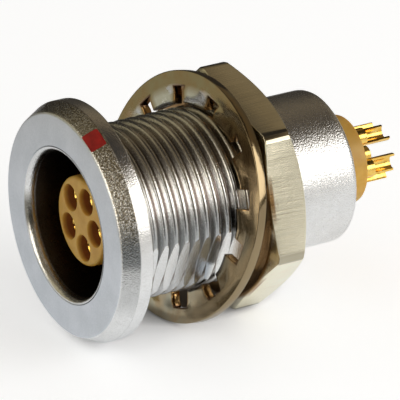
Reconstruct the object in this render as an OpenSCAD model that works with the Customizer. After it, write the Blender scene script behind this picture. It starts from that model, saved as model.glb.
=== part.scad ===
// Panel-mount push-pull receptacle with five socket contacts, lock washer and hex nut.
// Millimetres. X runs along the axis from the mating face to the solder cups, Z is up.
// The origin is on the axis in the plane of the flange's panel seat.

/* [Flange] */
// Diameter of the flange
flange_d = 12.3; // [12:0.1:13]
// Radial drop of the cone in front of the flange's rim
cone_drop = 0.45; // [0.25:0.05:0.6]
// Thickness of the flange from mating face to panel seat
flange_t = 1.6; // [1.4:0.1:2.4]
// Length of the conical band behind the mating face
cone_len = 0.85; // [0.6:0.05:1.1]
// Radius of the rounded mouth of the socket
lip_round = 0.25; // [0.1:0.05:0.3]
// Width of the red index mark
mark_w = 1.1; // [0.8:0.1:1.6]
// Depth of the enamel in the index mark
mark_depth = 0.12; // [0.08:0.02:0.2]
// Broken edge around the panel seat
seat_edge = 0.08; // [0.04:0.02:0.12]
// Depth of the undercut where the thread meets the panel seat
undercut = 0.1; // [0.06:0.02:0.2]

/* [Thread and barrel] */
// Outside diameter of the mounting thread
thread_d = 9; // [8.8:0.1:9.4]
// Pitch of the mounting thread
pitch = 0.6; // [0.5:0.05:0.75]
// Depth of the two flats milled on the thread
flat_depth = 0.33; // [0.2:0.01:0.4]
// Radial step from the thread's root down to the barrel
barrel_step = 0.18; // [0.1:0.02:0.24]
// Distance from mating face to the end of the thread
thread_end = 10.6; // [9:0.1:10.8]
// Plain length between the panel seat and the first thread
relief_len = 0.35; // [0.2:0.05:0.6]
// Distance from mating face to the end of the barrel
shell_len = 14.8; // [14:0.1:16]
// Radius of the rounded edge at the barrel's end
barrel_round = 0.2; // [0.1:0.05:0.3]
// Depth of the recess in the barrel's end
recess_depth = 1.2; // [0.6:0.1:1.8]
// Wall around the recess in the barrel's end
recess_wall = 0.65; // [0.5:0.05:0.8]
// Angle of the index mark and the key, from +Y towards +Z
key_angle = 114.2; // [0:0.1:360]

/* [Socket] */
// Wall between the thread's crests and the socket that takes the plug
socket_wall = 0.75; // [0.7:0.01:0.9]
// Depth of the latch groove in the socket wall
latch_depth = 0.13; // [0.08:0.01:0.16]
// Distance from mating face to the latch groove
latch_start = 2.6; // [2:0.1:3.2]
// Width of the latch groove
latch_w = 0.8; // [0.5:0.1:1]
// Width of the key on the socket wall
key_w = 0.7; // [0.5:0.05:1]
// Height of the key above the socket wall
key_h = 0.4; // [0.3:0.05:0.6]
// Distance from mating face to the key
key_pos = 4.3; // [4:0.1:4.6]
// Length of the key
key_len = 1.1; // [0.8:0.1:1.2]
// Number of fingers on the earthing crown
crown_fingers = 12; // [8:2:16]
// Thickness of the crown's spring strip
crown_t = 0.14; // [0.1:0.01:0.18]
// Length of the crown's fingers in front of the retaining ring
crown_len = 2.2; // [2:0.05:2.4]
// Length of the slits between the crown's fingers
crown_slit_len = 1.8; // [1.6:0.05:1.9]
// Width of the slits between the crown's fingers
crown_slit_w = 0.28; // [0.2:0.02:0.4]
// How far the fingers bow in from the socket wall
crown_bow = 0.26; // [0.16:0.02:0.3]
// Distance from mating face to the retaining ring
ring_pos = 8; // [7.8:0.05:8.2]
// Thickness of the retaining ring
ring_t = 0.6; // [0.5:0.05:0.7]
// Radial gap between the retaining ring and the insulator
ring_gap = 0.25; // [0.15:0.05:0.4]
// Width and depth of the spanner slots in the retaining ring
ring_slot = 0.6; // [0.5:0.05:0.8]

/* [Insulator and contacts] */
// Diameter of the insulator
insulator_d = 4.6; // [4.4:0.1:4.8]
// Distance from mating face to the insulator's front
insulator_front_pos = 0.96; // [0.6:0.02:1.4]
// Distance from mating face to the insulator's rear
insulator_rear_pos = 16.45; // [16.3:0.05:17.2]
// Radial height of the insulator's collar
collar_h = 0.8; // [0.6:0.05:0.9]
// Length of the insulator's collar
collar_len = 1.2; // [1:0.05:1.4]
// Rounding of the insulator's front edge
insulator_round = 0.16; // [0.1:0.02:0.24]
// Distance from mating face to the joint between the insulator's halves
insulator_split = 11.2; // [11:0.05:11.6]
// Distance from the insulator's surface in to a contact's axis
contact_inset = 0.93; // [0.9:0.01:0.96]
// Diameter of the socket holes in the insulator's front
contact_hole_d = 1.32; // [1.28:0.02:1.36]
// Outside diameter of a contact's socket
contact_socket_d = 1.12; // [1.06:0.02:1.2]
// Length of a contact's socket
contact_socket_len = 5.34; // [5:0.02:5.6]
// Depth of the hole for the pin
contact_bore_len = 4.6; // [4:0.1:4.8]
// Width of the slits in a contact's socket
contact_slit_w = 0.14; // [0.1:0.02:0.18]
// Length of the slits in a contact's socket
contact_slit_len = 3.4; // [3:0.1:3.8]
// Length of the shoulder that the insulator's halves hold
shoulder_len = 0.6; // [0.5:0.05:0.8]
// Diameter of the pin a contact takes
contact_pin_d = 0.72; // [0.6:0.02:0.76]
// Diameter of a contact's shank and solder cup
contact_shank_d = 0.96; // [0.92:0.02:1]
// Distance from mating face to the contacts' front
contact_front_pos = 1.46; // [1.4:0.02:1.7]
// Distance from mating face to the end of the solder cups
contact_rear_pos = 18.57; // [18.4:0.01:19.4]
// Length of the open side of a solder cup
cup_open_len = 1.4; // [1:0.1:1.6]
// Depth of a solder cup
cup_depth = 1.9; // [1.7:0.1:2.2]
// Wall of a solder cup
cup_wall = 0.12; // [0.1:0.01:0.16]

/* [Washer and nut] */
// Radial width of the lock washer's ring
washer_rim = 0.8; // [0.7:0.02:1]
// Thickness of the lock washer
washer_t = 0.5; // [0.4:0.05:0.6]
// Number of teeth inside the lock washer
tooth_count = 12; // [8:1:14]
// Radial length of a tooth
tooth_len = 0.76; // [0.5:0.02:0.8]
// Radial gap between the thread's crests and the teeth
tooth_gap = 0.3; // [0.28:0.02:0.5]
// Share of the washer's hole edge that the teeth take
tooth_share = 0.6; // [0.4:0.01:0.64]
// Twist of each tooth out of the washer's plane
tooth_twist = 8; // [6:1:10]
// Angle the loose washer leans at on the thread
washer_tilt = 13.9; // [10:0.1:14]
// Direction in which the washer leans back, from +Y towards +Z
washer_lean = 112.2; // [100:0.1:124]
// Height of the washer's centre above the axis
washer_lift = 0.06; // [0:0.01:0.08]
// Gap between the washer's rearmost tooth and the nut
washer_gap = 0.03; // [0.02:0.01:0.06]
// Wall of the nut between the thread and its flats
nut_wall = 1; // [0.8:0.05:1.1]
// Wall of the nut between the thread and its turned corners
nut_corner_wall = 1.75; // [1.5:0.05:1.8]
// Radial width of the chamfers on the nut's two ends
nut_chamfer = 0.85; // [0.6:0.05:1]
// Slope of the chamfer on the nut's front
nut_front_slope = 15; // [15:1:30]
// Slope of the chamfer on the nut's rear
nut_rear_slope = 28; // [15:1:30]
// Chamfer at the ends of the nut's bore
nut_bore_chamfer = 0.35; // [0.2:0.05:0.4]
// Thickness of the hex nut
nut_t = 2.1; // [1.6:0.02:2.4]
// Distance from mating face to the nut's front
nut_pos = 8.66; // [8.5:0.01:8.8]
// Direction of one corner of the nut, from +Y towards +Z
nut_angle = 75.6; // [60:0.1:90]
// Radial clearance between the thread and the nut
nut_clearance = 0.05; // [0.03:0.01:0.1]

/* [Hidden] */
slip = 0.02;
count = 5;
flange_r = flange_d / 2;
front_r = flange_r - cone_drop;
thread_r = thread_d / 2;
thread_depth = 0.613 * pitch;
root_r = thread_r - thread_depth;
thread_start = flange_t + relief_len;
thread_turns = floor((thread_end - thread_start) / pitch);
flat_r = thread_r - flat_depth;
seat_inner_r = thread_r + 0.06;
barrel_r = root_r - barrel_step;
recess_r = barrel_r - recess_wall;
bore_r = thread_r - socket_wall;
lip_depth = 1.8 * lip_round;
ins_r = insulator_d / 2;
collar_r = ins_r + collar_h;
ring_rear = ring_pos + ring_t;
ring_inner_r = ins_r + ring_gap;
collar_rear = ring_rear + collar_len;
shoulder_front = insulator_split - shoulder_len;
contact_circle_r = ins_r - contact_inset;
hole_r = contact_hole_d / 2;
shoulder_r = hole_r + 0.1;
socket_end = contact_front_pos + contact_socket_len;
crown_outer_r = bore_r - slip;
washer_inner_r = thread_r + tooth_gap + tooth_len;
washer_r = washer_inner_r + washer_rim;
tooth_w = tooth_share * 2 * PI * (washer_inner_r - tooth_len) / tooth_count;
tooth_rise = tooth_w / 2 * sin(tooth_twist) / cos(washer_tilt);
nut_corner_r = thread_r + nut_corner_wall;
nut_flat_r = thread_r + nut_wall;
nut_chamfer_r = nut_corner_r - nut_chamfer;
nut_bore_r = thread_r + nut_clearance;
washer_pos = nut_pos - washer_gap - tooth_rise - washer_t / cos(washer_tilt)
             - nut_chamfer_r * tan(washer_tilt);

// Stands a piece drawn along Z on the connector's axis, at a distance behind the mating face.
module on_axis(behind) {
    translate([behind - flange_t, 0, 0])
        rotate([90, 0, 90])
            children();
}

module turned(points) {
    rotate_extrude($fn = 96)
        polygon(points);
}

// One V-shaped turn of the thread, as points of the shell's outer profile.
function crest(z) = [[root_r, z], [thread_r, z + 0.44 * pitch], [thread_r, z + 0.56 * pitch],
                     [root_r, z + pitch]];

function shell_outside() = concat(
    [[front_r, 0], [flange_r, cone_len], [flange_r, flange_t - seat_edge],
     [flange_r - seat_edge, flange_t], [seat_inner_r, flange_t],
     [seat_inner_r - undercut, flange_t - undercut], [root_r, flange_t - undercut]],
    [for (i = [0 : thread_turns - 1]) each crest(thread_start + i * pitch)],
    [[root_r, thread_end], [barrel_r, thread_end + root_r - barrel_r]],
    [for (a = [0 : 15 : 90]) [barrel_r - barrel_round * (1 - cos(a)),
                              shell_len - barrel_round * (1 - sin(a))]]);

function shell_inside() = concat(
    [[recess_r, shell_len], [recess_r, shell_len - recess_depth],
     [ins_r + slip, shell_len - recess_depth], [ins_r + slip, collar_rear],
     [collar_r + slip, collar_rear], [collar_r + slip, ring_rear], [bore_r, ring_rear],
     [bore_r, latch_start + latch_w], [bore_r + latch_depth, latch_start + latch_w - latch_depth],
     [bore_r + latch_depth, latch_start], [bore_r, latch_start]],
    [for (a = [0 : 15 : 90]) [bore_r + lip_round * (1 - cos(a)), lip_depth * (1 - sin(a))]]);

// The patch of the flange's cone that the index mark fills.
module mark_patch() {
    intersection() {
        turned([[front_r - mark_depth, 0], [front_r, 0], [flange_r, cone_len],
                [flange_r - mark_depth, cone_len]]);
        rotate([0, 0, key_angle])
            translate([bore_r + lip_round, -mark_w / 2, 0.03])
                cube([flange_r, mark_w, cone_len - 0.08]);
    }
}

module shell() {
    color("Silver")
        on_axis(0) {
            difference() {
                turned(concat(shell_outside(), shell_inside()));
                for (side = [90, 270])
                    rotate([0, 0, key_angle + side])
                        translate([flat_r, -thread_r, flange_t])
                            cube([thread_r, thread_d, thread_end - flange_t + 0.01]);
                mark_patch();
            }
            socket_key();
        }
}

// The key that lets the plug enter one way round.
module socket_key() {
    intersection() {
        rotate([0, 0, key_angle])
            translate([bore_r - key_h, -key_w / 2, key_pos])
                cube([key_h + 0.1, key_w, key_len]);
        cylinder(r = bore_r + 0.05, h = ring_pos, $fn = 96);
    }
}

module index_mark() {
    color("DarkRed")
        on_axis(0)
            mark_patch();
}

module earthing_crown() {
    waist = crown_len - 0.3;
    color("Gold")
        on_axis(ring_pos)
            difference() {
                turned([[crown_outer_r, 0], [crown_outer_r - crown_t - 0.04, 0],
                        [crown_outer_r - crown_t, crown_slit_len - crown_len],
                        [crown_outer_r - crown_t - crown_bow, -waist],
                        [crown_outer_r - crown_t - 0.12, -crown_len],
                        [crown_outer_r - 0.12, -crown_len],
                        [crown_outer_r - crown_bow, -waist],
                        [crown_outer_r, crown_slit_len - crown_len]]);
                for (i = [0 : crown_fingers - 1])
                    rotate([0, 0, i * 360 / crown_fingers])
                        translate([bore_r - 1, -crown_slit_w / 2, -crown_len - 0.2])
                            cube([1.2, crown_slit_w, crown_slit_len + 0.1]);
            }
}

module retaining_ring() {
    color("DarkGray")
        on_axis(ring_pos)
            difference() {
                turned([[ring_inner_r, 0], [crown_outer_r, 0], [crown_outer_r, ring_t],
                        [ring_inner_r, ring_t]]);
                for (side = [0, 180])
                    rotate([0, 0, key_angle + side])
                        translate([ring_inner_r - 0.1, -ring_slot / 2, -0.1])
                            cube([ring_slot + 0.05, ring_slot, ring_t / 2 + 0.05]);
            }
}

// Puts a copy on each contact's axis.
module at_contact(i) {
    rotate([0, 0, key_angle + (i - 2) * 360 / count])
        translate([contact_circle_r, 0, 0])
            children();
}

module insulator_front() {
    color("Peru")
        on_axis(0)
            difference() {
                turned(concat(
                    [[0, insulator_front_pos]],
                    [for (a = [90 : -15 : 0]) [ins_r - insulator_round * (1 - cos(a)),
                                   insulator_front_pos + insulator_round * (1 - sin(a))]],
                    [[ins_r, ring_rear], [collar_r, ring_rear], [collar_r, collar_rear],
                     [ins_r, collar_rear], [ins_r, insulator_split], [0, insulator_split]]));
                for (i = [1 : count])
                    at_contact(i)
                        turned([[0, insulator_front_pos - 0.1],
                                [hole_r + 0.16, insulator_front_pos - 0.1],
                                [hole_r, insulator_front_pos + 0.06],
                                [hole_r, socket_end + 0.4],
                                [contact_shank_d / 2 + slip, socket_end + 0.4],
                                [contact_shank_d / 2 + slip, shoulder_front],
                                [shoulder_r, shoulder_front], [shoulder_r, insulator_split + 0.1],
                                [0, insulator_split + 0.1]]);
            }
}

module insulator_rear() {
    color("Peru")
        on_axis(0)
            difference() {
                turned([[0, insulator_split], [ins_r, insulator_split],
                        [ins_r, insulator_rear_pos - 0.1], [ins_r - 0.1, insulator_rear_pos],
                        [0, insulator_rear_pos]]);
                for (i = [1 : count])
                    at_contact(i)
                        translate([0, 0, insulator_split - 0.1])
                            cylinder(d = contact_shank_d + 2 * slip,
                                     h = insulator_rear_pos - insulator_split + 0.2, $fn = 48);
            }
}

// A turned contact with a slit socket in front and a solder cup behind, open outwards.
module contact(i) {
    socket_r = contact_socket_d / 2;
    shank_r = contact_shank_d / 2;
    cup_r = shank_r - cup_wall;
    pin_r = contact_pin_d / 2;
    bore_end = contact_front_pos + contact_bore_len;
    cup_floor = contact_rear_pos - cup_depth;
    color("Goldenrod")
        on_axis(0)
            at_contact(i)
                difference() {
                    turned([[pin_r + 0.06, contact_front_pos], [socket_r - 0.06, contact_front_pos],
                            [socket_r, contact_front_pos + 0.06], [socket_r, socket_end],
                            [shank_r, socket_end + 0.1], [shank_r, shoulder_front + slip],
                            [shoulder_r - slip, shoulder_front + slip],
                            [shoulder_r - slip, insulator_split], [shank_r, insulator_split],
                            [shank_r, contact_rear_pos], [cup_r, contact_rear_pos],
                            [cup_r, cup_floor], [0, cup_floor - cup_r * 0.6], [0, bore_end],
                            [pin_r, bore_end - 0.2], [pin_r, contact_front_pos + 0.06]]);
                    for (a = [0, 90])
                        rotate([0, 0, a])
                            translate([-1, -contact_slit_w / 2, contact_front_pos - 0.1])
                                cube([2, contact_slit_w, contact_slit_len + 0.1]);
                    translate([0.02, -1, contact_rear_pos - cup_open_len])
                        cube([1, 2, cup_open_len + 0.1]);
                }
}

// Sets a piece on the washer's own plane, leaning back on the thread.
module leaning() {
    on_axis(washer_pos)
        translate([0, washer_lift, 0])
            rotate([0, 0, washer_lean - 90])
                rotate([washer_tilt, 0, 0])
                    rotate([0, 0, 90 - washer_lean])
                        children();
}

module lock_washer() {
    color("DarkKhaki")
        leaning()
            union() {
                turned([[washer_inner_r, 0], [washer_r - 0.05, 0], [washer_r, 0.05],
                        [washer_r, washer_t - 0.05], [washer_r - 0.05, washer_t],
                        [washer_inner_r, washer_t]]);
                for (i = [0 : tooth_count - 1])
                    rotate([0, 0, 57 + i * 360 / tooth_count])
                        washer_tooth();
            }
}

// A tooth twisted about its own radial line, with its tip rounded to the hole.
module washer_tooth() {
    intersection() {
        translate([washer_inner_r - tooth_len, 0, washer_t / 2])
            rotate([tooth_twist, 0, 0])
                translate([0, -tooth_w / 2, -washer_t / 2])
                    cube([tooth_len + 0.25, tooth_w, washer_t]);
        turned([[washer_inner_r - tooth_len, -1], [washer_inner_r + 0.2, -1],
                [washer_inner_r + 0.2, 2], [washer_inner_r - tooth_len, 2]]);
    }
}

module hex_nut() {
    color("Khaki")
        on_axis(nut_pos)
            difference() {
                intersection() {
                    rotate([0, 0, nut_angle])
                        cylinder(r = nut_flat_r / cos(30), h = nut_t, $fn = 6);
                    turned([[0, 0], [nut_chamfer_r, 0],
                            [nut_corner_r, nut_chamfer * tan(nut_front_slope)],
                            [nut_corner_r, nut_t - nut_chamfer * tan(nut_rear_slope)],
                            [nut_chamfer_r, nut_t], [0, nut_t]]);
                }
                turned([[0, -0.1], [nut_bore_r + nut_bore_chamfer, -0.1],
                        [nut_bore_r, nut_bore_chamfer - 0.1],
                        [nut_bore_r, nut_t - nut_bore_chamfer + 0.1],
                        [nut_bore_r + nut_bore_chamfer, nut_t + 0.1], [0, nut_t + 0.1]]);
            }
}

shell();
index_mark();
earthing_crown();
retaining_ring();
insulator_front();
insulator_rear();
contact(1);  // contact_1
contact(2);  // contact_2
contact(3);  // contact_3
contact(4);  // contact_4
contact(5);  // contact_5
lock_washer();
hex_nut();
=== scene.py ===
"""Looks of the circular panel-mount receptacle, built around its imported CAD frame.

Metres, X along the axis from mating face to solder cups, Z up. Lengths named below are in
millimetres and repeat the part's own sizes; u is the distance behind the mating face and
angles run from +Y towards +Z.
"""
import math

import bmesh
import bpy
import numpy as np
from mathutils import Matrix, Vector

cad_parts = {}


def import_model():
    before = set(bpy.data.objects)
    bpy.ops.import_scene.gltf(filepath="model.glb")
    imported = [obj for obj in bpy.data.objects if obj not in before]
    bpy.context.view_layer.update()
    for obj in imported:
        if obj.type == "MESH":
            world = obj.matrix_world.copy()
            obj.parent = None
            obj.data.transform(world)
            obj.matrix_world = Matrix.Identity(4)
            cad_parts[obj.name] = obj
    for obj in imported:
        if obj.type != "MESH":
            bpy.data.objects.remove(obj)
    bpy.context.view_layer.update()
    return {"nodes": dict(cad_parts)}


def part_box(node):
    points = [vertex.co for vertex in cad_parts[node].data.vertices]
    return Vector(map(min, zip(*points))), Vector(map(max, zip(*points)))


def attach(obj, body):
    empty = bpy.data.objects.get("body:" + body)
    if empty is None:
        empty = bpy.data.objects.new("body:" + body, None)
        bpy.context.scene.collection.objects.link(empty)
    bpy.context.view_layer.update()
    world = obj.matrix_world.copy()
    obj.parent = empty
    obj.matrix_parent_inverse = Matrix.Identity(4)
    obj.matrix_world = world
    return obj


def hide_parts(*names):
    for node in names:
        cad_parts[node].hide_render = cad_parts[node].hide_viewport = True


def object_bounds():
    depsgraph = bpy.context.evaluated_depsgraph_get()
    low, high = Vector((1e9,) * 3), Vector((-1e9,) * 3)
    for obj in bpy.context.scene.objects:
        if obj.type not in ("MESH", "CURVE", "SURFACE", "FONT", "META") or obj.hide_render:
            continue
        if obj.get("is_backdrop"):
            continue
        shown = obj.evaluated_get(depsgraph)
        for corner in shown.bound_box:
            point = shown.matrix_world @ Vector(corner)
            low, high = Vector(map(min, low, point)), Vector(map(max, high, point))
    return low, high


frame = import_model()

MM = 0.001
TAU = 2 * math.pi
MATING_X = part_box("shell")[0].x

# ---------------------------------------------------------------- sizes, in mm and degrees
# Flange, the cone in front of it, and the rounding of the socket's mouth
FLANGE_R, FRONT_R, FLANGE_T, CONE_LEN, LIP = 6.15, 5.7, 1.6, 0.85, 0.25
LIP_LEN = 1.8 * LIP
# Index mark, and the key at the same angle
MARK_W, KEY_ANGLE = 1.1, 114.2
KEY_FRONT, KEY_REAR, KEY_W, KEY_H = 4.3, 5.4, 0.7, 0.4
# Thread with its two flats, and how it runs in from the flange and out to the barrel
THREAD_R, PITCH, FLAT_R, THREAD_END = 4.5, 0.6, 4.17, 10.6
ROOT_R = THREAD_R - 0.613 * PITCH
THREAD_START, RELIEF, RUN_IN, RUN_OUT = FLANGE_T - 0.1, 0.2, 0.35, 0.25
# Barrel behind the thread, with a recess in its end
BARREL_R, SHELL_LEN, BARREL_ROUND = ROOT_R - 0.18, 14.8, 0.2
RECESS_R, RECESS_DEPTH = BARREL_R - 0.65, 1.2
# Socket for the plug, with the groove for its latch
BORE_R, LATCH_U, LATCH_W, LATCH_D = 3.75, 2.6, 0.8, 0.13
MOUTH_R = BORE_R + LIP
# Insulators with their play, their collar and the ring that holds it
INS_R, INS_FRONT, INS_REAR, INS_SPLIT = 2.3, 0.96, 16.45, 11.2
COLLAR_R, RING_REAR, COLLAR_REAR, FIT = 3.1, 8.6, 9.8, 0.02
# Contacts on their circle: pin hole, split socket, shank, stop collar and solder cup
CONTACTS, CIRCLE_R = 5, 1.37
HOLE_R, PIN_R, SOCKET_R, SHANK_R = 0.66, 0.36, 0.56, 0.48
CONTACT_FRONT, SOCKET_END, CONTACT_REAR = 1.46, 6.8, 18.57
PIN_DEPTH, SLIT_LEN, SLIT_W, STOP_U = 4.4, 3.4, 0.14, 10.6
CUP_DEPTH, CUP_OPEN, CUP_WALL = 1.9, 1.4, 0.12
# Lock washer, the angle of a first tooth, the teeth's twist, and how it leans on the thread
WASHER_IN, WASHER_R, WASHER_T, TOOTH_TIP, TEETH, TOOTH_SHARE = 5.56, 6.36, 0.5, 4.8, 12, 0.6
NOTCH, TOOTH_AT, TOOTH_TWIST, TWIST_RISE, TWIST_TOP = 0.92, 57, 8, 0.14, 0.09
WASHER_TILT, WASHER_LEAN, WASHER_LIFT, LEAN_CLEAR_R = 13.9, 112.2, 0.06, 4.64
# Hex nut
NUT_FLAT_R, NUT_CORNER_R, NUT_CHAMFER, NUT_T, NUT_U, NUT_ANGLE = 5.5, 6.25, 0.85, 2.1, 8.66, 75.6
NUT_BORE_R, NUT_BORE_EDGE, NUT_FRONT_SLOPE, NUT_REAR_SLOPE = 4.55, 0.25, 15, 28


# ---------------------------------------------------------------- mesh helpers
def at(u, r, a):
    """Points on the connector's axis system, from mm and radians to metres."""
    u, r, a = np.broadcast_arrays(u, r, a)
    return np.stack([MATING_X + u * MM, r * np.cos(a) * MM, r * np.sin(a) * MM], -1)


def rounded(points, radius, steps=3, closed=True):
    """A profile with each corner rounded; a third number gives a corner its own radius."""
    out, count = [], len(points)
    for i, point in enumerate(points):
        here = Vector(point[:2])
        size = point[2] if len(point) > 2 else radius
        if (not closed and i in (0, count - 1)) or size <= 0:
            out.append(tuple(here))
            continue
        before = Vector(points[i - 1][:2]) - here
        after = Vector(points[(i + 1) % count][:2]) - here
        a, b = (min(size, 0.45 * d.length) for d in (before, after))
        p, q = here + before.normalized() * a, here + after.normalized() * b
        for k in range(steps + 1):
            t = k / steps
            out.append(tuple(p * (1 - t) ** 2 + here * 2 * t * (1 - t) + q * t * t))
    return out


def grid_faces(columns, rows, around=True, loop=False):
    """Quads between neighbouring columns of a grid whose vertices run column by column."""
    j = np.arange(columns if around else columns - 1)[:, None]
    i = np.arange(rows if loop else rows - 1)[None, :]
    jn, inext = (j + 1) % columns, (i + 1) % rows
    quads = np.stack(np.broadcast_arrays(j * rows + i, j * rows + inext,
                                         jn * rows + inext, jn * rows + i), -1)
    return quads.reshape(-1, 4).tolist()


def clean(bm, weld=2e-7):
    """Welds points closer than weld metres, drops faces without area, turns normals outwards."""
    bmesh.ops.remove_doubles(bm, verts=bm.verts, dist=weld)
    bmesh.ops.dissolve_degenerate(bm, dist=weld, edges=bm.edges)
    bmesh.ops.recalc_face_normals(bm, faces=bm.faces)


def bm_from(verts, faces):
    """A bmesh from points in metres and faces of their indices."""
    bm = bmesh.new()
    made = [bm.verts.new(v) for v in verts]
    for face in faces:
        bm.faces.new([made[k] for k in face])
    return bm


def lathe(profile, columns):
    """A bmesh turned about the axis from an open row of (u, r) points in mm, not yet cleaned."""
    p = np.array(profile, float)
    a = np.arange(columns) * TAU / columns
    verts = at(p[None, :, 0], p[None, :, 1], a[:, None]).reshape(-1, 3)
    return bm_from(verts, grid_faces(columns, len(p)))


def turned_bm(profile, columns):
    """A cleaned bmesh turned about the axis."""
    bm = lathe(profile, columns)
    clean(bm)
    return bm


def linked(name, data):
    """A new object in the scene that shows this data."""
    made = bpy.data.objects.new(name, data)
    bpy.context.scene.collection.objects.link(made)
    return made


def piece(name, bm, material, body, nodes=(), smooth=32.0):
    """Makes a shown piece from a bmesh and seats it on its body."""
    mesh = bpy.data.meshes.new(name)
    bm.to_mesh(mesh)
    bm.free()
    mesh.shade_smooth()
    mesh.set_sharp_from_angle(angle=math.radians(smooth))
    mesh.materials.append(material)
    made = linked(name, mesh)
    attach(made, body)
    if nodes:
        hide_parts(*nodes)
    return made


def temp_object(bm):
    """A scene object made from a bmesh, for a modifier to work on."""
    mesh = bpy.data.meshes.new("temp")
    bm.to_mesh(mesh)
    bm.free()
    return linked("temp", mesh)


def with_modifiers(bm, add):
    """Runs add(object) on a temporary object and returns the evaluated mesh as a bmesh."""
    made = temp_object(bm)
    helpers = add(made) or []
    graph = bpy.context.evaluated_depsgraph_get()
    result = bmesh.new()
    result.from_mesh(made.evaluated_get(graph).to_mesh())
    for o in [made, *helpers]:
        bpy.data.objects.remove(o)
    return result


def minus(bm, cutters):
    """A bmesh with the cutters' bmeshes taken out of it."""
    def add(made):
        helpers = []
        for cutter in cutters:
            helper = temp_object(cutter)
            modifier = made.modifiers.new("cut", "BOOLEAN")
            modifier.operation, modifier.solver = "DIFFERENCE", "EXACT"
            modifier.object = helper
            helpers.append(helper)
        return helpers
    return with_modifiers(bm, add)


def bevelled(bm, width, segments=2, angle=40.0):
    """A bmesh with its edges rounded where they turn by more than angle degrees; width in mm."""
    def add(made):
        modifier = made.modifiers.new("bevel", "BEVEL")
        modifier.width, modifier.segments = width * MM, segments
        modifier.limit_method, modifier.angle_limit = "ANGLE", math.radians(angle)
        modifier.use_clamp_overlap = True
    return with_modifiers(bm, add)


def box_bm(low, high):
    """A box between two corners (u, y, z) in mm."""
    bm = bmesh.new()
    bmesh.ops.create_cube(bm, size=1.0)
    low, high = (Vector(((u - FLANGE_T) * MM, y * MM, z * MM)) for u, y, z in (low, high))
    for v in bm.verts:
        v.co = (low + high) / 2 + Vector(c * s for c, s in zip(v.co, high - low))
    return bm


def contact_place(i):
    """Moves what is made round the connector's axis to contact i's own axis, turned outwards."""
    a = math.radians(KEY_ANGLE + (i - 2) * 360 / CONTACTS)
    return (Matrix.Translation((0, CIRCLE_R * MM * math.cos(a), CIRCLE_R * MM * math.sin(a)))
            @ Matrix.Rotation(a, 4, "X"))


# ---------------------------------------------------------------- material helpers
def linear(r, g, b):
    """A colour written as 0-255 display values, as linear light."""
    def one(c):
        c /= 255
        return c / 12.92 if c <= 0.04045 else ((c + 0.055) / 1.055) ** 2.4
    return (one(r), one(g), one(b), 1.0)


class Look:
    """A node material around one Principled shader, with its coordinates in millimetres."""

    def __init__(self, name, **values):
        self.material = bpy.data.materials.new(name)
        self.material.use_nodes = True
        self.nodes = self.material.node_tree.nodes
        self.links = self.material.node_tree.links
        self.nodes.clear()
        self.shader = self.nodes.new("ShaderNodeBsdfPrincipled")
        out = self.nodes.new("ShaderNodeOutputMaterial")
        self.links.new(self.shader.outputs["BSDF"], out.inputs["Surface"])
        for key, value in values.items():
            self.shader.inputs[key.replace("_", " ")].default_value = value
        coords = self.nodes.new("ShaderNodeTexCoord")
        self.place = self.add("ShaderNodeVectorMath", {0: coords.outputs["Object"],
                                                       1: (1000.0, 1000.0, 1000.0)},
                              operation="MULTIPLY").outputs[0]
        split = self.add("ShaderNodeSeparateXYZ", {0: self.place})
        self.x, self.y, self.z = split.outputs

    def add(self, kind, inputs, **settings):
        """A node with its inputs set to values or linked to other nodes' outputs."""
        node = self.nodes.new(kind)
        for key, value in settings.items():
            setattr(node, key, value)
        for key, value in inputs.items():
            if hasattr(value, "is_output"):
                self.links.new(value, node.inputs[key])
            else:
                node.inputs[key].default_value = value
        return node

    def math(self, operation, a, b=0.0, c=0.0):
        return self.add("ShaderNodeMath", {0: a, 1: b, 2: c}, operation=operation).outputs[0]

    def span(self, value, low, high, to_low=0.0, to_high=1.0):
        """Maps a value from one range to another, held at its ends."""
        return self.add("ShaderNodeMapRange", {"Value": value, "From Min": low, "From Max": high,
                                               "To Min": to_low, "To Max": to_high}).outputs[0]

    def noise(self, size, detail=2.0, rough=0.5, vector=None, stretch=None):
        """Noise whose features are about that many mm across."""
        vector = vector or self.place
        if stretch:
            vector = self.add("ShaderNodeVectorMath", {0: vector, 1: stretch},
                              operation="MULTIPLY").outputs[0]
        return self.add("ShaderNodeTexNoise", {"Vector": vector, "Scale": 1 / size,
                                               "Detail": detail, "Roughness": rough}).outputs[0]

    def product(self, first, *others):
        """Several masks or numbers multiplied, from the first on."""
        for other in others:
            first = self.math("MULTIPLY", first, other)
        return first

    def length(self, a, b):
        """The length of a vector with the parts a and b."""
        return self.math("SQRT", self.math("MULTIPLY_ADD", a, a, self.product(b, b)))

    def folded(self, y, z, first, count):
        """The angle of (y, z) from the nearest of count even places, one of them at first."""
        half = TAU / 2 / count
        turn = self.math("SUBTRACT", self.math("ARCTAN2", z, y), first)
        return self.math("WRAP", turn, half, -half)

    def mix(self, factor, a, b):
        node = self.add("ShaderNodeMix", {0: factor, 6: a, 7: b}, data_type="RGBA")
        return node.outputs[2]

    def paint(self, base, *layers):
        """Lays (mask, colour) layers over a base colour, the last on top."""
        for mask, colour in layers:
            base = self.mix(mask, base, colour)
        self.set("Base Color", base)

    def set(self, name, value):
        """Feeds one of the shader's sockets."""
        self.links.new(value, self.shader.inputs[name])

    def bump(self, *layers):
        """Layers of (height, depth in mm), stacked."""
        normal = None
        for height, depth in layers:
            inputs = {"Height": height, "Strength": 1.0, "Distance": depth * MM}
            if normal:
                inputs["Normal"] = normal
            normal = self.add("ShaderNodeBump", inputs).outputs[0]
        self.set("Normal", normal)

    def radius(self):
        """Distance from the connector's axis in mm."""
        return self.length(self.y, self.z)

    def behind(self):
        """Distance behind the mating face in mm."""
        return self.math("ADD", self.x, FLANGE_T)


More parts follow.
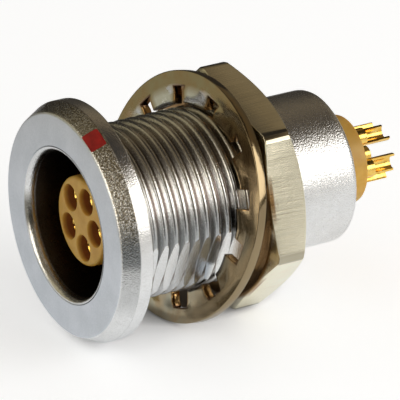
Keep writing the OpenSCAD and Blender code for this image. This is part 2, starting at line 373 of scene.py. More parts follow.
# ---------------------------------------------------------------- materials
def satin_nickel():
    """Pearl-chromed brass: speckled cone, even face; painted shade in the bore, along the thread's
    roots, behind the washer and in bands by height, and painted reflections on the face and the
    flats.
    """
    look = Look("satin_nickel", Metallic=1.0)
    radius, u = look.radius(), look.behind()
    grain, patch = look.noise(0.075, 3.0, 0.65), look.noise(1.6, 3.0)
    coarse = look.noise(0.078, 1.0, 0.5)
    flat = math.radians(KEY_ANGLE - 90)
    across = look.math("ABSOLUTE", look.math("MULTIPLY_ADD", look.y, math.cos(flat),
                                             look.product(look.z, math.sin(flat))))

    # zones of the turned shell, each a mask from 0 to 1
    # the face: its own rougher finish, with a darker bluish colour that is a painted reflection of
    # the pale floor
    face = look.product(look.span(u, 0.05, 0.02), look.span(radius, MOUTH_R - 0.05, MOUTH_R + 0.02))
    cone = look.product(look.span(u, CONE_LEN + 0.05, CONE_LEN), look.span(u, 0.02, 0.1),
                        look.span(radius, FRONT_R - 0.1, FRONT_R + 0.05))
    # painted shade: the socket's bore nearly black
    inside = look.product(look.span(u, 0.3, 0.55), look.span(radius, MOUTH_R, MOUTH_R - 0.06),
                          look.span(u, THREAD_END + 0.4, THREAD_END + 0.2))
    thread = look.product(look.span(u, FLANGE_T + 0.1, FLANGE_T + 0.3),
                          look.span(u, THREAD_END + 0.1, THREAD_END - 0.05),
                          look.span(radius, MOUTH_R, MOUTH_R + 0.05))
    barrel = look.span(u, THREAD_END - 0.05, THREAD_END + 0.1)

    # finer marks within the zones, most of them painted shade or painted reflection
    # painted shade: brown-grey speckle on the cone, kept to its upper side
    speckled_shade = look.product(cone, look.span(coarse, 0.6, 0.4), look.span(look.z, -0.4, 1.4))
    # painted dark reflection: a darker band round the cone at chosen heights
    shade_belt = look.product(cone, look.span(look.z, 2.2, 1.0),
                        look.math("MAXIMUM", look.span(look.z, -0.7, 0.1),
                                  look.span(look.z, -3.4, -2.0, 0.0, 0.4)))
    # painted shade: a dark patch on the socket's rounded mouth at mid height
    lip = look.product(look.span(u, 0.34, 0.26), look.span(radius, MOUTH_R + 0.35, MOUTH_R + 0.3),
                       look.span(look.z, -1.7, -1.1), look.span(look.z, 0.6, -0.2), 0.8)
    # painted shade along the thread's roots
    root_shade = look.product(thread, look.span(radius, 4.27, 4.2),
                        look.span(across, FLAT_R - 0.005, FLAT_R - 0.04), 0.7)
    # painted shade on the thread behind the washer and in the nut
    shade_behind_washer = look.product(thread, look.span(u, 7.4, 8.0))
    # painted dark reflection on the flats over part of the thread's length
    flat_shade = look.product(thread, look.span(across, FLAT_R - 0.03, FLAT_R - 0.01),
                          look.span(u, 3.9, 5.3, 0.0, 0.8), look.span(u, 6.6, 6.2))
    # painted shade: the thread darker in a band at mid height, away from the flats
    mid_band_shade = look.product(thread, look.span(across, FLAT_R - 0.01, FLAT_R - 0.03),
                             look.span(look.z, 1.5, 0.3), look.span(look.z, -2.2, -1.0), 0.75)
    # painted shade: the thread's top side warmer and darker
    top_shade = look.product(thread, look.span(look.z, 2.0, 3.6, 0.0, 0.6))
    look.paint(look.mix(look.span(patch, 0.35, 0.65), (0.80, 0.795, 0.785, 1),
                        (0.90, 0.895, 0.885, 1)),
               (look.span(grain, 0.35, 0.7, 0.0, 0.5), (0.62, 0.61, 0.59, 1)),
               (speckled_shade, (0.38, 0.33, 0.24, 1)),
               (shade_belt, (0.30, 0.31, 0.31, 1)),
               (root_shade, (0.27, 0.20, 0.17, 1)),
               (shade_behind_washer, (0.58, 0.54, 0.46, 1)),
               (flat_shade, (0.33, 0.38, 0.44, 1)),
               (mid_band_shade, (0.34, 0.35, 0.35, 1)),
               (lip, (0.14, 0.125, 0.09, 1)),
               (top_shade, (0.46, 0.42, 0.35, 1)),
               (face, look.mix(look.span(look.math("ADD", grain, patch), 0.8, 1.2),
                               (0.60, 0.63, 0.67, 1), (0.70, 0.725, 0.77, 1))),
               (inside, (0.05, 0.04, 0.03, 1)))

    rough = look.span(grain, 0.3, 0.7, 0.15, 0.24)
    for zone, more in ((face, 0.14), (thread, 0.04), (barrel, 0.05), (inside, 0.1)):
        rough = look.math("MULTIPLY_ADD", zone, more, rough)
    look.set("Roughness", rough)
    rest = look.math("SUBTRACT", look.math("MULTIPLY_ADD", thread, -0.55, 1.0), face)
    depth = look.math("MULTIPLY_ADD", cone, 1.6, look.math("MULTIPLY_ADD", rest, 0.8, 0.2))
    depth = look.math("MULTIPLY_ADD", barrel, 0.55, depth)
    look.bump((patch, 0.01), (look.product(coarse, depth), 0.012),
              (look.product(grain, depth), 0.010))
    return look.material


def red_enamel():
    """The index mark's enamel, glossy and a little uneven."""
    look = Look("red_enamel", Roughness=0.22, Coat_Weight=0.6, Coat_Roughness=0.08)
    patch = look.noise(0.35, 3.0)
    look.paint(linear(162, 20, 15), (look.span(patch, 0.35, 0.7), linear(132, 12, 10)))
    look.bump((patch, 0.012))
    return look.material


def shaded_dull_metal(name, dark, pale, roughness, depth):
    """Bare metal down in the socket, in patches of two shades, both dark as painted shade."""
    look = Look(name, Metallic=1.0, Roughness=roughness)
    look.paint(dark, (look.noise(0.6, 3.0), pale))
    look.bump((look.noise(0.1), depth))
    return look.material


def amber_polymer():
    """Moulded high-temperature polymer: warm amber, cloudy, with painted red-brown shade down the
    pin holes and painted shade on the rear part's upper side.
    """
    look = Look("amber_polymer", Roughness=0.42, IOR=1.5, Subsurface_Weight=0.35,
                Subsurface_Scale=0.0006)
    look.shader.inputs["Subsurface Radius"].default_value = (1.0, 0.62, 0.3)
    cloud, skin = look.noise(0.9, 4.0, 0.6), look.noise(0.06, 2.0)
    radius, u = look.radius(), look.behind()
    turn = look.folded(look.y, look.z, math.radians(KEY_ANGLE), CONTACTS)
    along = look.math("SUBTRACT", look.product(radius, look.math("COSINE", turn)), CIRCLE_R)
    aside = look.product(radius, look.math("SINE", turn))
    # painted shade: red-brown, deepening down each pin hole
    hole = look.product(look.span(look.length(along, aside), HOLE_R + 0.06, HOLE_R + 0.01),
                        look.span(u, INS_FRONT, INS_FRONT + 0.3), look.span(u, 9.0, 8.0))
    shade = look.product(look.span(u, 12.0, 13.0), look.span(look.z, -0.4, 1.6, 0.0, 0.5))
    look.paint(look.mix(look.span(cloud, 0.3, 0.7), linear(208, 156, 54), linear(230, 184, 84)),
               (hole, (0.25, 0.07, 0.008, 1)), (shade, (0.30, 0.16, 0.03, 1)))
    look.set("Roughness", look.span(skin, 0.3, 0.7, 0.36, 0.5))
    look.bump((cloud, 0.012), (skin, 0.004))
    return look.material


def gold_plate():
    """Gold over turned brass, with fine lines across the contact's length."""
    look = Look("gold_plate", Metallic=1.0)
    patch, grain = look.noise(0.25, 3.0), look.noise(0.05, 2.0, stretch=(0.2, 1, 1))
    look.paint((0.90, 0.52, 0.09, 1), (look.span(patch, 0.3, 0.7), (1.0, 0.70, 0.20, 1)))
    look.set("Roughness", look.span(grain, 0.3, 0.7, 0.12, 0.26))
    look.bump((grain, 0.004))
    return look.material


def washer_nickel():
    """Tumbled nickel with a warm tarnish, glossy and slightly wavy; painted gold reflection on the
    notch walls, painted shade at their outer ends, on the tooth tips and on the right side, and a
    painted pale reflection on the upper-left teeth.
    """
    look = Look("washer_nickel", Metallic=1.0)
    wave, patch, grain = look.noise(1.7, 1.0), look.noise(0.7, 4.0), look.noise(0.07, 2.0)
    # distances in the washer's own plane: from its centre, and aside from a notch's middle
    y, z = (look.math("ADD", look.add("ShaderNodeVectorMath", {0: look.place, 1: tuple(row[:3])},
                                      operation="DOT_PRODUCT").outputs["Value"], row[3] / MM)
            for row in washer_place().inverted()[1:3])
    r = look.length(y, z)
    turn = look.folded(y, z, math.radians(TOOTH_AT) + math.pi / TEETH, TEETH)
    aside = look.math("ABSOLUTE", look.product(r, look.math("SINE", turn)))

    # painted shade: the ring browner and darker on its right side
    right_side_shade = look.span(look.y, -1.5, -4.0)
    # painted reflection: pale bluish centres on the upper-left teeth only
    tooth = look.product(look.span(r, 5.7, 5.2), look.span(aside, 0.55, 0.85),
                         look.span(look.y, -1.6, 0.2), look.span(look.z, 0.0, 2.0))
    # painted reflection: warm gold on the notch walls; painted shade, dark brown, at their outer
    # ends
    cut = look.product(look.span(aside, NOTCH / 2 + 0.12, NOTCH / 2 + 0.05),
                       look.span(r, WASHER_IN + 0.1, WASHER_IN + 0.04))
    # painted shade: the teeth's inner tips nearly black
    tip_shade = look.product(look.span(r, TOOTH_TIP + 0.04, TOOTH_TIP - 0.02), 0.8)
    rim = look.product(look.span(r, WASHER_R - 0.06, WASHER_R - 0.02), 0.35)
    look.paint(look.mix(look.span(patch, 0.35, 0.7), (0.47, 0.43, 0.31, 1), (0.46, 0.34, 0.20, 1)),
               (right_side_shade, (0.40, 0.30, 0.17, 1)),
               (tooth, (0.84, 0.90, 0.98, 1)),
               (cut, look.mix(look.span(r, 5.4, 5.5), (0.42, 0.26, 0.11, 1),
                              (0.16, 0.09, 0.05, 1))),
               (tip_shade, (0.07, 0.06, 0.05, 1)),
               (rim, (0.16, 0.13, 0.08, 1)))
    look.set("Roughness", look.span(patch, 0.3, 0.7, 0.09, 0.17))
    look.bump((wave, 0.12), (grain, 0.003))
    return look.material


def nut_nickel():
    """Nickel over drawn hexagon bar: fine lines along the axis, smoother turned corners; painted
    shade on the turned corners and the front face.
    """
    look = Look("nut_nickel", Metallic=1.0)
    lines = look.noise(0.05, 2.0, 0.5, stretch=(0.012, 1, 1))
    patch = look.noise(1.3, 3.0)
    # the turned corners: smoother, and darker as painted shade
    turned = look.span(look.radius(), NUT_CORNER_R - 0.1, NUT_CORNER_R - 0.03)
    # painted shade: the nut's front face dark brown
    front = look.product(look.span(look.behind(), NUT_U + 0.35, NUT_U + 0.25),
                         look.span(look.radius(), 5.66, 5.5))
    look.paint(look.mix(look.span(patch, 0.35, 0.65), (0.92, 0.87, 0.69, 1), (0.86, 0.81, 0.63, 1)),
               (look.span(lines, 0.4, 0.75, 0.0, 0.3), (0.70, 0.64, 0.47, 1)),
               (front, (0.34, 0.20, 0.08, 1)),
               (look.product(turned, 0.6), (0.20, 0.16, 0.10, 1)))
    rough = look.span(lines, 0.3, 0.7, 0.17, 0.27)
    look.set("Roughness", look.math("MULTIPLY_ADD", turned, -0.1, rough))
    look.bump((patch, 0.006), (lines, 0.002))
    return look.material


# ---------------------------------------------------------------- the pieces
def thread_band(columns):
    """The helical thread between the flange's undercut and the barrel, with its two flats."""
    # one pitch of the ridge: places along it, and heights as shares of the thread's depth
    phases = np.array([0, .05, .11, .17, .23, .29, .37, .50, .63, .71, .77, .83, .89, .95])
    heights = np.array([0, .12, .32, .52, .71, .86, .96, 1, .96, .86, .71, .52, .32, .12])
    heights = 0.03 + 0.97 * heights
    per = len(phases)
    rows = per * (math.ceil((THREAD_END - THREAD_START) / PITCH) + 3)
    i, j = np.arange(rows), np.arange(columns)
    a = j * TAU / columns
    u = ((THREAD_START - PITCH + PITCH * (i // per + phases[i % per]))[None, :]
         + (PITCH * a / TAU)[:, None])
    u = np.clip(u, THREAD_START, THREAD_END)
    lift = (np.clip((u - FLANGE_T - RELIEF) / RUN_IN, 0, 1)
            * np.clip((THREAD_END - u) / RUN_OUT, 0, 1))
    r = ROOT_R + (THREAD_R - ROOT_R) * heights[i % per][None, :] * lift
    verts = at(u, r, a[:, None]).reshape(-1, 3)
    faces = grid_faces(columns, rows, around=False)
    # the last column meets the first one pitch further on
    last = (columns - 1) * rows
    faces += [(last + k, last + k + 1, k + 1 + per, k + per) for k in range(rows - 1 - per)]
    bm = bm_from(verts, faces)
    loose = [v for v in bm.verts if not v.link_faces]
    bmesh.ops.delete(bm, geom=loose, context="VERTS")
    clean(bm)
    for side in (90, -90):
        t = math.radians(KEY_ANGLE + side)
        normal = Vector((0, math.cos(t), math.sin(t)))
        cut = bmesh.ops.bisect_plane(bm, geom=bm.verts[:] + bm.edges[:] + bm.faces[:], dist=1e-7,
                                     plane_co=normal * FLAT_R * MM, plane_no=normal,
                                     clear_outer=True)
        edges = [g for g in cut["geom_cut"] if isinstance(g, bmesh.types.BMEdge) and g.is_boundary]
        bmesh.ops.edgeloop_fill(bm, edges=edges)
    return bm


def shell_bm(columns=360):
    """The turned shell, from the thread's start over the flange, lip, socket and barrel."""
    outside = rounded([(THREAD_START, ROOT_R), (THREAD_START, THREAD_R - 0.04, 0.02),
                       (FLANGE_T, THREAD_R + 0.06, 0.02), (FLANGE_T, FLANGE_R, 0.1),
                       (CONE_LEN, FLANGE_R, 0.07), (0, FRONT_R, 0.09),
                       (0, MOUTH_R + 0.05)], 0.05, 4, closed=False)
    lip = [(LIP_LEN * (1 - math.sin(t)), BORE_R + LIP * (1 - math.cos(t)))
           for t in np.linspace(math.pi / 2, 0, 9)]
    inside = rounded([(LIP_LEN + 0.05, BORE_R), (LATCH_U, BORE_R, 0.04),
                      (LATCH_U, BORE_R + LATCH_D, 0.03),
                      (LATCH_U + LATCH_W - LATCH_D, BORE_R + LATCH_D, 0.03),
                      (LATCH_U + LATCH_W, BORE_R, 0.04), (RING_REAR, BORE_R, 0.03),
                      (RING_REAR, COLLAR_R + FIT, 0.03), (COLLAR_REAR, COLLAR_R + FIT, 0.03),
                      (COLLAR_REAR, INS_R + FIT, 0.03),
                      (SHELL_LEN - RECESS_DEPTH, INS_R + FIT, 0.03),
                      (SHELL_LEN - RECESS_DEPTH, RECESS_R, 0.06), (SHELL_LEN, RECESS_R, 0.06),
                      (SHELL_LEN, BARREL_R, 2 * BARREL_ROUND),
                      (THREAD_END + ROOT_R - BARREL_R, BARREL_R, 0.05), (THREAD_END, ROOT_R)],
                     0.05, 4, closed=False)
    # known flaw: the lip's points run from the bore out to the face, against the rest of the
    # profile, so the surface folds in a narrow ring at the socket's mouth
    bm = lathe(outside + lip[::-1] + inside, columns)
    band = thread_band(columns)
    mesh = bpy.data.meshes.new("band")
    band.to_mesh(mesh)
    band.free()
    bm.from_mesh(mesh)
    clean(bm, 3e-7)
    return bm


def key_bm():
    """The rib on the socket wall that lets the plug enter one way round."""
    bm = box_bm((KEY_FRONT, BORE_R - KEY_H, -KEY_W / 2), (KEY_REAR, BORE_R + 0.04, KEY_W / 2))
    bm.transform(Matrix.Rotation(math.radians(KEY_ANGLE), 4, "X"))
    return bevelled(bm, 0.05)


def mark_bm():
    """The enamel square on the cone, with rounded corners, a little crowned."""
    gap, crown, sunk, rows = 0.03, 0.012, 0.12, 16
    half_u, half_w = (CONE_LEN - 0.08) / 2, MARK_W / 2
    mid = gap + half_u
    slope = (FLANGE_R - FRONT_R) / CONE_LEN
    s = np.linspace(-1, 1, rows)
    verts = []
    for is_top in (True, False):
        for v in s:
            for w in s:
                edge = max(abs(v), abs(w))
                corner = 1 - 0.035 * (abs(v) ** 6) * (abs(w) ** 6)
                u, side = mid + v * half_u * corner, w * half_w * corner
                r = FRONT_R + slope * u + (crown * (1 - edge ** 8) if is_top else -sunk)
                verts.append((u, side, r))
    base = math.radians(KEY_ANGLE)
    points = [at(u, r, base + math.asin(side / r)).tolist() for u, side, r in verts]
    top = [(i * rows + j, i * rows + j + 1, (i + 1) * rows + j + 1, (i + 1) * rows + j)
           for i in range(rows - 1) for j in range(rows - 1)]
    low = [tuple(k + rows * rows for k in f[::-1]) for f in top]
    ring = (list(range(rows)) + [i * rows + rows - 1 for i in range(1, rows)]
            + [(rows - 1) * rows + j for j in range(rows - 2, -1, -1)]
            + [i * rows for i in range(rows - 2, 0, -1)])
    walls = [(a, b, b + rows * rows, a + rows * rows) for a, b in zip(ring, ring[1:] + ring[:1])]
    bm = bm_from(points, top + low + walls)
    clean(bm)
    return bm


def insulator_bms():
    """The front insulator with its pin holes, and the rear one with its bores for the shanks."""
    front = turned_bm(rounded([(INS_FRONT, 0), (INS_FRONT, INS_R, 0.22), (RING_REAR, INS_R, 0.02),
                               (RING_REAR, COLLAR_R, 0.05), (COLLAR_REAR, COLLAR_R, 0.05),
                               (COLLAR_REAR, INS_R, 0.02), (INS_SPLIT, INS_R, 0.02),
                               (INS_SPLIT, 0)], 0.05, 5, closed=False), 180)
    rear = turned_bm(rounded([(INS_SPLIT, 0), (INS_SPLIT, INS_R, 0.02), (INS_REAR, INS_R, 0.14),
                              (INS_REAR, 0)], 0.05, 5, closed=False), 180)
    holes, bores = [], []
    for i in range(1, CONTACTS + 1):
        hole = turned_bm([(INS_FRONT - 0.2, 0), (INS_FRONT - 0.2, HOLE_R + 0.16),
                          (INS_FRONT - 0.02, HOLE_R + 0.07), (INS_FRONT + 0.03, HOLE_R + 0.025),
                          (INS_FRONT + 0.1, HOLE_R), (SOCKET_END + 0.4, HOLE_R),
                          (SOCKET_END + 0.4, SHANK_R + FIT), (STOP_U, SHANK_R + FIT),
                          (STOP_U, HOLE_R + 0.1), (INS_SPLIT + 0.2, HOLE_R + 0.1),
                          (INS_SPLIT + 0.2, 0)], 72)
        bore = turned_bm([(INS_SPLIT - 0.2, 0), (INS_SPLIT - 0.2, SHANK_R + FIT),
                          (INS_REAR - 0.05, SHANK_R + FIT), (INS_REAR + 0.05, SHANK_R + 0.12),
                          (INS_REAR + 0.2, SHANK_R + 0.12), (INS_REAR + 0.2, 0)], 72)
        for bm, kept in ((hole, holes), (bore, bores)):
            bm.transform(contact_place(i))
            kept.append(bm)
    return minus(front, holes), minus(rear, bores)


def contact_bm():
    """One contact on the connector's axis, its solder cup open towards +Y."""
    cup_r, stop_r, cup_end = SHANK_R - CUP_WALL, HOLE_R + 0.08, CONTACT_REAR - CUP_DEPTH
    body = turned_bm(rounded([(CONTACT_FRONT + PIN_DEPTH + 0.2, 0),
                              (CONTACT_FRONT + PIN_DEPTH, PIN_R), (CONTACT_FRONT + 0.1, PIN_R),
                              (CONTACT_FRONT, PIN_R + 0.08), (CONTACT_FRONT, SOCKET_R, 0.05),
                              (SOCKET_END, SOCKET_R, 0.05), (SOCKET_END + 0.1, SHANK_R),
                              (STOP_U + FIT, SHANK_R, 0.02), (STOP_U + FIT, stop_r, 0.03),
                              (INS_SPLIT, stop_r, 0.03), (INS_SPLIT, SHANK_R, 0.02),
                              (CONTACT_REAR, SHANK_R, 0.04), (CONTACT_REAR, cup_r, 0.03),
                              (cup_end, cup_r, 0.03), (cup_end - 0.22, 0)],
                             0.02, 2, closed=False), 64)
    cutters = []
    for turn in (0, 90):
        slit = box_bm((CONTACT_FRONT - 0.2, -1, -SLIT_W / 2),
                      (CONTACT_FRONT + SLIT_LEN, 1, SLIT_W / 2))
        slit.transform(Matrix.Rotation(math.radians(turn), 4, "X"))
        cutters.append(slit)
    cutters.append(box_bm((CONTACT_REAR - CUP_OPEN, 0.02, -1), (CONTACT_REAR + 0.2, 1, 1)))
    return minus(body, cutters)


def washer_place():
    """From the washer's own plane, drawn along X from its front, to its lean on the thread."""
    tilt, lean = math.radians(WASHER_TILT), math.radians(WASHER_LEAN - 90)
    rise = (TOOTH_TIP * TOOTH_SHARE * math.pi / TEETH * math.sin(math.radians(TOOTH_TWIST))
            / math.cos(tilt))
    u = (NUT_U - 0.03 - rise - WASHER_T / math.cos(tilt)
         - (NUT_CORNER_R - NUT_CHAMFER) * math.tan(tilt))
    return (Matrix.Translation(((u - FLANGE_T) * MM, 0, WASHER_LIFT * MM))
            @ Matrix.Rotation(lean, 4, "X") @ Matrix.Rotation(tilt, 4, "Y")
            @ Matrix.Rotation(-lean, 4, "X"))


def washer_bm():
    """A ring with teeth inside, each twisted smoothly out of the ring's plane."""
    rows_in = [TOOTH_TIP, TOOTH_TIP + 0.25, TOOTH_TIP + 0.5, WASHER_IN]
    rows_out = [WASHER_IN, WASHER_IN + 0.12, WASHER_IN + 0.3, WASHER_R]
    tilt = math.cos(math.radians(WASHER_TILT))
    # a column: the middle of its tooth or notch, its place across it, and True for a tooth
    columns = []
    for k in range(TEETH):
        middle = math.radians(TOOTH_AT) + k * TAU / TEETH
        columns += [(middle, float(t), True) for t in np.linspace(-1, 1, 7)]
        columns += [(middle + math.pi / TEETH, float(t), False)
                    for t in np.linspace(-1, 1, 5)[1:-1]]
    verts, index = [], {}

    def angle(column, r):
        middle, t, tooth = column
        gap = math.asin(NOTCH / 2 / r)
        return middle + t * (math.pi / TEETH - gap if tooth else gap)

    def vert(j, r, side):
        key = (j, round(r, 4), side)
        if key not in index:
            if r == TOOTH_TIP:
                # the tips stay clear of the thread although the ring leans
                turn = columns[j][0] - math.radians(WASHER_LEAN)
                near = LEAN_CLEAR_R / math.hypot(math.cos(turn) * tilt, math.sin(turn))
                r = min(TOOTH_TIP, near)
            a = angle(columns[j], r)
            reach = np.clip((WASHER_IN + 0.12 - r) / 0.4, 0, 1)
            reach = reach * reach * (3 - 2 * reach)
            twist = columns[j][1] * columns[j][2] * TWIST_RISE * reach
            u = (0.0 if side == 0 else WASHER_T) + min(twist, TWIST_TOP)
            verts.append((u * MM, r * math.cos(a) * MM, r * math.sin(a) * MM))
            index[key] = len(verts) - 1
        return index[key]

    count, faces = len(columns), []
    for j in range(count):
        n = (j + 1) % count
        tooth = columns[j][2] and columns[n][2]
        rows = (rows_in if tooth else []) + rows_out[(1 if tooth else 0):]
        for a, b in zip(rows, rows[1:]):
            faces.append([vert(j, a, 0), vert(j, b, 0), vert(n, b, 0), vert(n, a, 0)])
            faces.append([vert(j, a, 1), vert(n, a, 1), vert(n, b, 1), vert(j, b, 1)])
        for r in (rows[0], WASHER_R):
            faces.append([vert(j, r, 0), vert(n, r, 0), vert(n, r, 1), vert(j, r, 1)])
        if columns[j][2] != columns[n][2]:
            edge = j if columns[j][2] else n
            for a, b in zip(rows_in, rows_in[1:]):
                faces.append([vert(edge, a, 0), vert(edge, b, 0), vert(edge, b, 1),
                              vert(edge, a, 1)])
    bm = bm_from(verts, faces)
    clean(bm)
    bm = bevelled(bm, 0.05, 3)
    bm.transform(washer_place())
    return bm


def nut_bm():
    """The hexagon nut: turned corners, a chamfer in front, a broken edge behind."""
    chamfer_r, mouth_r = NUT_CORNER_R - NUT_CHAMFER, NUT_BORE_R + NUT_BORE_EDGE
    front_slope = math.tan(math.radians(NUT_FRONT_SLOPE))
    rear_slope = math.tan(math.radians(NUT_REAR_SLOPE))
    corner = math.acos(NUT_FLAT_R / NUT_CORNER_R)
    angles = []
    for k in range(6):
        face = math.radians(NUT_ANGLE + 30 + 60 * k)
        angles += list(np.linspace(face - corner, face + corner, 41))
        angles += list(np.linspace(face + corner, face + math.radians(60) - corner, 5))[1:-1]
    columns = []
    for a in angles:
        off = (a - math.radians(NUT_ANGLE + 30) + math.radians(30)) % math.radians(60)
        r = min(NUT_FLAT_R / math.cos(off - math.radians(30)), NUT_CORNER_R)
        out = r - chamfer_r
        p = rounded([(0, mouth_r, 0.03), (0, chamfer_r), (out * front_slope, r),
                     (NUT_T - out * rear_slope, r), (NUT_T, chamfer_r), (NUT_T, mouth_r, 0.03),
                     (NUT_T - NUT_BORE_EDGE, NUT_BORE_R, 0.02), (NUT_BORE_EDGE, NUT_BORE_R, 0.02)],
                    0.05)
        columns.append([at(NUT_U + q[0], q[1], a) for q in p])
    rows = len(columns[0])
    bm = bm_from([v for c in columns for v in c], grid_faces(len(columns), rows, loop=True))
    clean(bm)
    return bm


def build():
    """Makes the shown pieces and gives the two rings down in the socket their metals."""
    nickel, gold, amber = satin_nickel(), gold_plate(), amber_polymer()
    piece("shell_body", shell_bm(), nickel, "receptacle", ["shell"])
    piece("socket_key", key_bm(), nickel, "receptacle")
    piece("index_enamel", mark_bm(), red_enamel(), "receptacle", ["index_mark"])
    front, rear = insulator_bms()
    piece("insulator_nose", front, amber, "receptacle", ["insulator_front"])
    piece("insulator_tail", rear, amber, "receptacle", ["insulator_rear"])
    one = contact_bm()
    for i in range(1, CONTACTS + 1):
        bm = one.copy()
        bm.transform(contact_place(i))
        piece(f"contact_pin_{i}", bm, gold, "receptacle", [f"contact_{i}"])
    one.free()
    piece("toothed_washer", washer_bm(), washer_nickel(), "washer",
          ["lock_washer"])
    piece("hexagon_nut", nut_bm(), nut_nickel(), "nut", ["hex_nut"])
    # both metals darker than their own colour: painted shade deep in the socket
    bronze = shaded_dull_metal("spring_bronze", (0.20, 0.13, 0.06, 1), (0.42, 0.29, 0.14, 1), 0.35, 0.006)
    ring = shaded_dull_metal("ring_nickel", (0.14, 0.13, 0.12, 1), (0.26, 0.25, 0.23, 1), 0.4, 0.008)
    for node, material in (("earthing_crown", bronze), ("retaining_ring", ring)):
        mesh = frame["nodes"][node].data
        mesh.materials.clear()
        mesh.materials.append(material)


# ---------------------------------------------------------------- floor, light, camera
def floor():
    """White to the camera, a dim painted pool of light to mirrors, and a soft painted shadow
    beneath the part.
    """
    size, low = 3.0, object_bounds()[0].z
    mesh = bpy.data.meshes.new("floor")
    mesh.from_pydata([(-size, -size, low), (size, -size, low), (size, size, low),
                      (-size, size, low)], [], [(0, 1, 2, 3)])
    look = Look("floor", Roughness=0.6)
    path = look.nodes.new("ShaderNodeLightPath")
    seen = path.outputs["Is Camera Ray"]
    # the painted shadow, mm: squeezed along the axis, its middle, and its outer and inner radius
    squeeze, middle_x, middle_y, outer, inner = 0.6, 4.0, 0.9, 2.9, 1.1
    aside = look.math("SUBTRACT", look.y, middle_y)
    along = look.math("MULTIPLY_ADD", look.x, squeeze, -middle_x)
    under = look.span(look.length(aside, along), outer, inner)
    open_floor = look.math("SUBTRACT", 1.0, under)
    look.paint((0.86, 0.87, 0.885, 1), (under, (0.10, 0.07, 0.045, 1)))
    # glow: full to the camera away from contact shadows, faint and near the part to mirrors
    away = look.add("ShaderNodeVectorMath", {0: look.place, 1: (7.0, 0.0, 0.0)},
                    operation="DISTANCE").outputs["Value"]
    pool = look.span(away, 9.0, 42.0, 0.38, 0.0)
    open_sky = look.add("ShaderNodeAmbientOcclusion", {"Distance": 0.005}, samples=6).outputs["AO"]
    shown = look.product(seen, look.span(open_sky, 0.02, 0.22, 0.04, 0.45))
    mirrored = look.product(path.outputs["Is Glossy Ray"], pool, look.span(open_sky, 0.1, 0.35))
    look.set("Emission Color", look.mix(seen, (0.90, 0.95, 1.0, 1), (1.0, 1.0, 1.0, 1)))
    look.set("Emission Strength", look.product(look.math("MAXIMUM", shown, mirrored), open_floor))
    mesh.materials.append(look.material)
    made = linked("floor", mesh)
    made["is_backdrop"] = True


def world():
    """A studio: dim and warm to mirrors, soft to matt surfaces, white to the camera."""
    made = bpy.data.worlds.new("studio")
    bpy.context.scene.world = made
    made.use_nodes = True
    nodes, links = made.node_tree.nodes, made.node_tree.links
    nodes.clear()
    out = nodes.new("ShaderNodeOutputWorld")
    coords = nodes.new("ShaderNodeTexCoord")
    split = nodes.new("ShaderNodeSeparateXYZ")
    links.new(coords.outputs["Generated"], split.inputs[0])
    overhead = nodes.new("ShaderNodeMath")
    overhead.operation = "MULTIPLY_ADD"
    links.new(split.outputs["X"], overhead.inputs[0])
    overhead.inputs[1].default_value = 0.3
    links.new(split.outputs["Z"], overhead.inputs[2])
    # what mirrors see, from low to overhead, where it is dark
    ramp = nodes.new("ShaderNodeValToRGB")
    links.new(overhead.outputs[0], ramp.inputs[0])
    stops = [(0.0, (0.09, 0.08, 0.065, 1)), (0.2, (0.15, 0.13, 0.095, 1)),
             (0.45, (0.13, 0.115, 0.085, 1)),
             (0.72, (0.17, 0.14, 0.095, 1)), (0.90, (0.21, 0.16, 0.095, 1)),
             (0.925, (0.04, 0.035, 0.03, 1))]
    elements = ramp.color_ramp.elements
    elements[0].position, elements[0].color = stops[0]
    elements[1].position, elements[1].color = stops[-1]
    for position, colour in stops[1:-1]:
        elements.new(position).color = colour
    studio, soft, white = (nodes.new("ShaderNodeBackground") for _ in range(3))
    links.new(ramp.outputs[0], studio.inputs["Color"])
    soft.inputs["Color"].default_value = (0.5, 0.49, 0.47, 1)
    white.inputs["Color"].default_value = (1, 1, 1, 1)
    path = nodes.new("ShaderNodeLightPath")
    shown = studio
    for ray, other in (("Is Diffuse Ray", soft), ("Is Camera Ray", white)):
        mix = nodes.new("ShaderNodeMixShader")
        links.new(path.outputs[ray], mix.inputs[0])
        links.new(shown.outputs[0], mix.inputs[1])
        links.new(other.outputs[0], mix.inputs[2])
        shown = mix
    links.new(shown.outputs[0], out.inputs[0])


def lamp(name, direction, distance, width, height, power, colour):
    """A soft box turned to the part's middle, out of the camera's sight; sizes in metres."""
    data = bpy.data.lights.new(name, "AREA")
    data.shape, data.size, data.size_y = "RECTANGLE", width, height
    data.energy, data.color = power, colour
    made = linked(name, data)
    middle, away = Vector((0.006, 0, 0)), Vector(direction).normalized()
    made.location = middle + away * distance
    made.rotation_mode = "QUATERNION"
    made.rotation_quaternion = away.to_track_quat("Z", "Y")
    made.visible_camera = False


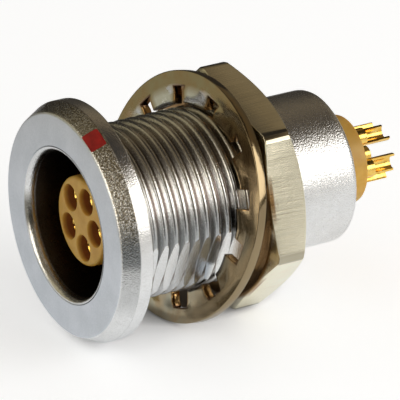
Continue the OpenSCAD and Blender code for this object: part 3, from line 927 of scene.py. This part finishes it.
def card(name, direction, distance, width, height, colour, lift=0.0):
    """A studio card that stands on or above the floor, out of the camera's sight; in metres."""
    away = Vector(direction).normalized()
    side = away.cross(Vector((0, 0, 1))).normalized() * width / 2
    foot = away * distance
    foot.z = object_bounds()[0].z + lift
    top = foot + Vector((0, 0, height))
    mesh = bpy.data.meshes.new(name)
    mesh.from_pydata([foot - side, foot + side, top + side, top - side], [], [(0, 1, 2, 3)])
    look = Look(name, Roughness=0.9)
    for socket, value in (("Base Color", (0, 0, 0, 1)), ("Specular IOR Level", 0),
                          ("Emission Color", colour), ("Emission Strength", 1.0)):
        look.shader.inputs[socket].default_value = value
    mesh.materials.append(look.material)
    made = linked(name, mesh)
    made.visible_camera = made.visible_diffuse = made.visible_shadow = False
    made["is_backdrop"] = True


def camera():
    """The photo's camera, fitted to the circles of the face, flange, barrel and nut."""
    data = bpy.data.cameras.new("camera")
    data.sensor_width, data.lens = 36.0, 451.55
    data.clip_start, data.clip_end = 0.01, 20.0
    made = linked("camera", data)
    # the fit gives a rotation vector, and a shift in units of fit_unit millimetres
    turn, fit_unit = Vector((1.92944667, -0.532769072, 0.347786185)), 0.882
    rows = Matrix.Rotation(turn.length, 3, turn.normalized())
    shift = Vector((-7.66367, 1.44170, 281.35898)) * fit_unit * MM
    spot = -(rows.transposed() @ shift) + Vector((MATING_X, 0, 0))
    right, down, ahead = rows
    made.matrix_world = Matrix.Translation(spot) @ Matrix(
        [(right[k], -down[k], -ahead[k]) for k in range(3)]).to_4x4()
    bpy.context.scene.camera = made


camera()
build()
floor()
world()
lamp("softbox", (0.556, -0.711, 0.412), 0.42, 0.43, 0.25, 0.93, (1.0, 0.985, 0.96))
card("flag", (-0.72, 0.69, 0.0), 0.05, 0.044, 0.08, (0.36, 0.32, 0.21, 1))
card("strip", (-0.99, -0.1, 0.0), 0.05, 0.066, 0.032, (2.4, 2.25, 1.95, 1), 0.006)
card("left_gobo", (-0.98, -0.2, 0.0), 0.027, 0.032, 0.0062, (0.14, 0.135, 0.125, 1))
card("back_gobo", (0.56, 0.83, 0.0), 0.05, 0.044, 0.036, (0.045, 0.04, 0.033, 1))
card("low_gobo", (-0.48, -0.88, 0.0), 0.024, 0.03, 0.0095, (0.05, 0.05, 0.045, 1))
card("gobo", (-0.22, 0.975, 0.0), 0.055, 0.068, 0.08, (0.03, 0.03, 0.028, 1))
bpy.context.scene.view_settings.view_transform = "Standard"
